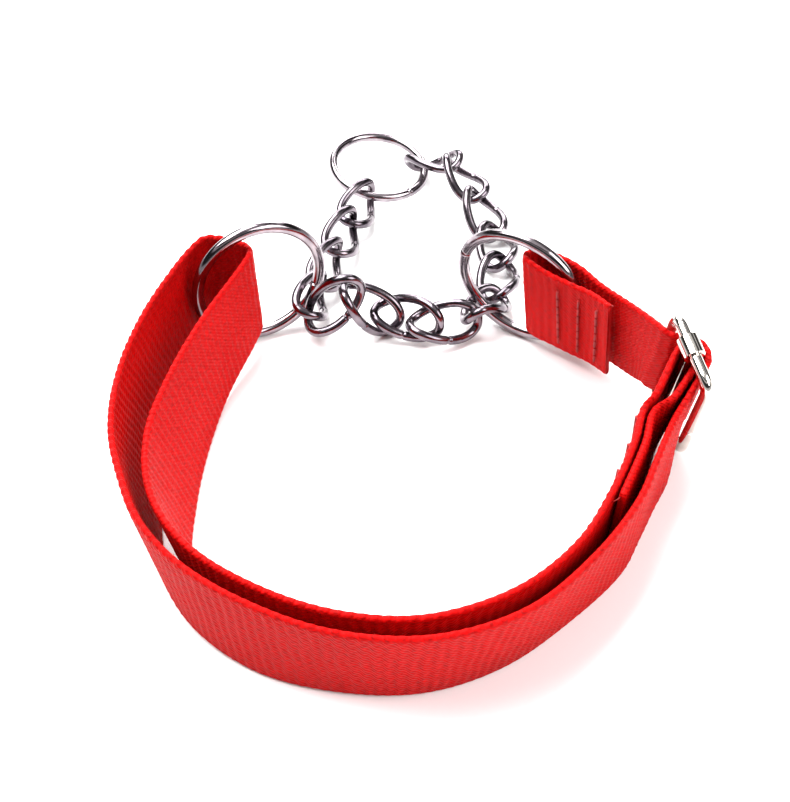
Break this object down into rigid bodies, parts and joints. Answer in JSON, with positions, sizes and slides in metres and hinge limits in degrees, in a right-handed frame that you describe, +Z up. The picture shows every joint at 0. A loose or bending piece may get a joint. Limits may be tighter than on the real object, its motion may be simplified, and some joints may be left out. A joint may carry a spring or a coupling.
{
  "type": "martingale dog collar",
  "caption": "Martingale collar: one flat webbing strap with a wire slide, a ring in each folded end and a loose curb chain loop carrying a leash ring.",
  "frame": {"origin": "middle of the footprint, on the surface the collar stands on", "axes": "+Z up from the surface, +Y from the front of the webbing loop towards the leash ring, +X towards the side that has the slide"},
  "size_m": [0.1242, 0.1825, 0.035],
  "materials": {
    "webbing": "woven",
    "thread": "matt",
    "ring_metal": "polished",
    "chain_metal": "polished",
    "slide_metal": "polished"
  },
  "bodies": {
    "webbing": {"webbing_strap": "webbing", "slide_stitching": "thread", "ring_stitching": "thread"},
    "slide": {"slide_frame": "slide_metal", "slide_centre_bar": "slide_metal"},
    "ring_left": {"ring_left": "ring_metal"},
    "ring_right": {"ring_right": "ring_metal"},
    "leash_ring": {"leash_ring": "ring_metal"},
    "chain_link_01": {"chain_link_01": "chain_metal"},
    "chain_link_02": {"chain_link_02": "chain_metal"},
    "chain_link_03": {"chain_link_03": "chain_metal"},
    "chain_link_04": {"chain_link_04": "chain_metal"},
    "chain_link_05": {"chain_link_05": "chain_metal"},
    "chain_link_06": {"chain_link_06": "chain_metal"},
    "chain_link_07": {"chain_link_07": "chain_metal"},
    "chain_link_08": {"chain_link_08": "chain_metal"},
    "chain_link_09": {"chain_link_09": "chain_metal"},
    "chain_link_10": {"chain_link_10": "chain_metal"},
    "chain_link_11": {"chain_link_11": "chain_metal"},
    "chain_link_12": {"chain_link_12": "chain_metal"},
    "chain_link_13": {"chain_link_13": "chain_metal"},
    "chain_link_14": {"chain_link_14": "chain_metal"}
  },
  "joints": [
    {"name": "slide_rock", "type": "hinge", "parent": "webbing", "child": "slide", "pos_m": [0.05675, -0.02258, 0.01814], "axis": [-0.0257, -0.3079, 0.9511], "range_deg": [-2.5, 2.5]},
    {"name": "left_ring_turn", "type": "hinge", "parent": "webbing", "child": "ring_left", "pos_m": [-0.0355, 0.0127, 0.01685], "axis": [-0.4226, 0.9063, 0], "continuous": true},
    {"name": "right_ring_turn", "type": "hinge", "parent": "webbing", "child": "ring_right", "pos_m": [0.026, 0.0112, 0.01675], "axis": [0.5248, 0.8398, 0.1392], "continuous": true},
    {"name": "leash_ring_turn", "type": "hinge", "parent": "webbing", "child": "leash_ring", "pos_m": [-0.008, 0.0772, 0.00655], "axis": [0.133, -0.1116, 0.9848], "continuous": true},
    {"name": "link_01_roll", "type": "hinge", "parent": "webbing", "child": "chain_link_01", "pos_m": [0.0075, 0.0787, 0.00705], "axis": [0.8138, -0.4698, 0.342], "range_deg": [-3, 3]},
    {"name": "link_02_roll", "type": "hinge", "parent": "webbing", "child": "chain_link_02", "pos_m": [0.0155, 0.0692, 0.00805], "axis": [0.4924, -0.8529, -0.1736], "range_deg": [-3, 3]},
    {"name": "link_03_roll", "type": "hinge", "parent": "webbing", "child": "chain_link_03", "pos_m": [0.0205, 0.0567, 0.00505], "axis": [0.3304, -0.9077, -0.2588], "range_deg": [-3, 3]},
    {"name": "link_04_roll", "type": "hinge", "parent": "webbing", "child": "chain_link_04", "pos_m": [0.0235, 0.0442, 0.00355], "axis": [0.0872, -0.9962, 0], "range_deg": [-3, 3]},
    {"name": "link_05_roll", "type": "hinge", "parent": "webbing", "child": "chain_link_05", "pos_m": [0.023, 0.0307, 0.00355], "axis": [-0.1736, -0.9848, 0], "range_deg": [-3, 3]},
    {"name": "link_06_roll", "type": "hinge", "parent": "webbing", "child": "chain_link_06", "pos_m": [0.019, 0.0182, 0.00505], "axis": [-0.483, -0.8365, 0.2588], "range_deg": [-3, 3]},
    {"name": "link_07_roll", "type": "hinge", "parent": "webbing", "child": "chain_link_07", "pos_m": [0.0085, 0.0117, 0.00505], "axis": [-0.9848, -0.1736, 0], "range_deg": [-3, 3]},
    {"name": "link_08_roll", "type": "hinge", "parent": "webbing", "child": "chain_link_08", "pos_m": [-0.0005, 0.0132, 0.00555], "axis": [-0.9397, 0.342, 0], "range_deg": [-3, 3]},
    {"name": "link_09_roll", "type": "hinge", "parent": "webbing", "child": "chain_link_09", "pos_m": [-0.0095, 0.0137, 0.00805], "axis": [-0.766, 0, 0.6428], "range_deg": [-3, 3]},
    {"name": "link_10_roll", "type": "hinge", "parent": "webbing", "child": "chain_link_10", "pos_m": [-0.0185, 0.0127, 0.01005], "axis": [-0.683, -0.183, -0.7071], "range_deg": [-3, 3]},
    {"name": "link_11_roll", "type": "hinge", "parent": "webbing", "child": "chain_link_11", "pos_m": [-0.0235, 0.0197, 0.00655], "axis": [0.171, 0.9698, -0.1736], "range_deg": [-3, 3]},
    {"name": "link_12_roll", "type": "hinge", "parent": "webbing", "child": "chain_link_12", "pos_m": [-0.0205, 0.0332, 0.00555], "axis": [0.2588, 0.9659, 0], "range_deg": [-3, 3]},
    {"name": "link_13_roll", "type": "hinge", "parent": "webbing", "child": "chain_link_13", "pos_m": [-0.017, 0.0462, 0.00605], "axis": [0.2588, 0.9659, 0], "range_deg": [-3, 3]},
    {"name": "link_14_roll", "type": "hinge", "parent": "webbing", "child": "chain_link_14", "pos_m": [-0.013, 0.0597, 0.00555], "axis": [0.342, 0.9397, 0], "range_deg": [-3, 3]}
  ]
}
